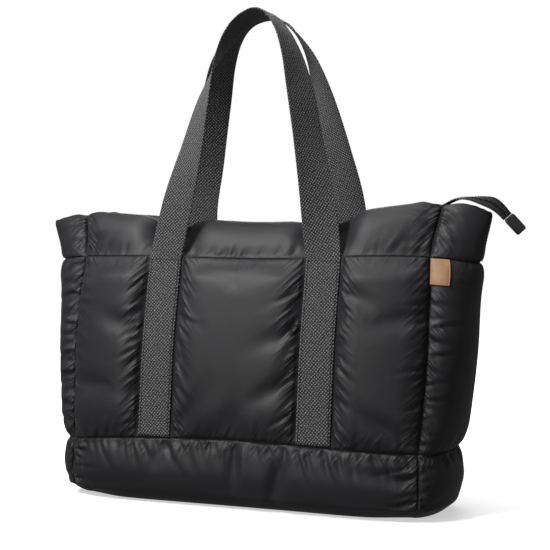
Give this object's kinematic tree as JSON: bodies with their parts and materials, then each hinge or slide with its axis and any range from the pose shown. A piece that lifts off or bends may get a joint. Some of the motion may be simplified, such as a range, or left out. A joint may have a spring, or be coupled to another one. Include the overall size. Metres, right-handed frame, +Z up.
{
  "type": "puffer tote bag",
  "caption": "Padded nylon tote with a zipped, leaning collar, folded side wings, webbing handles over the shoulder and a padded base band.",
  "frame": {"origin": "middle of the flat bottom panel, on the surface that the bag rests on", "axes": "+Z up, +X to the right of the front and towards the zip's free tail, -Y out of the front"},
  "size_m": [0.5546, 0.1636, 0.538],
  "materials": {
    "shell": "smooth padded nylon with a soft sheen",
    "webbing": "coarse woven charcoal webbing",
    "zip_tape": "fine woven tape",
    "zip_coil": "nylon coil",
    "zip_metal": "satin black",
    "label_leather": "smooth tan leather, bare"
  },
  "bodies": {
    "root": {"front_panel": "shell", "back_panel": "shell", "front_collar": "shell", "back_collar": "shell", "left_gusset": "shell", "right_gusset": "shell", "left_wing": "shell", "right_wing": "shell", "base_front": "shell", "base_back": "shell", "base_left": "shell", "base_right": "shell", "base_bottom": "shell", "front_handle": "webbing", "back_handle": "webbing", "zip_tape_front": "zip_tape", "zip_tape_back": "zip_tape", "zip_coil": "zip_coil", "zip_end_tab": "shell", "zip_slider": "zip_metal", "side_label": "label_leather"}
  },
  "joints": []
}
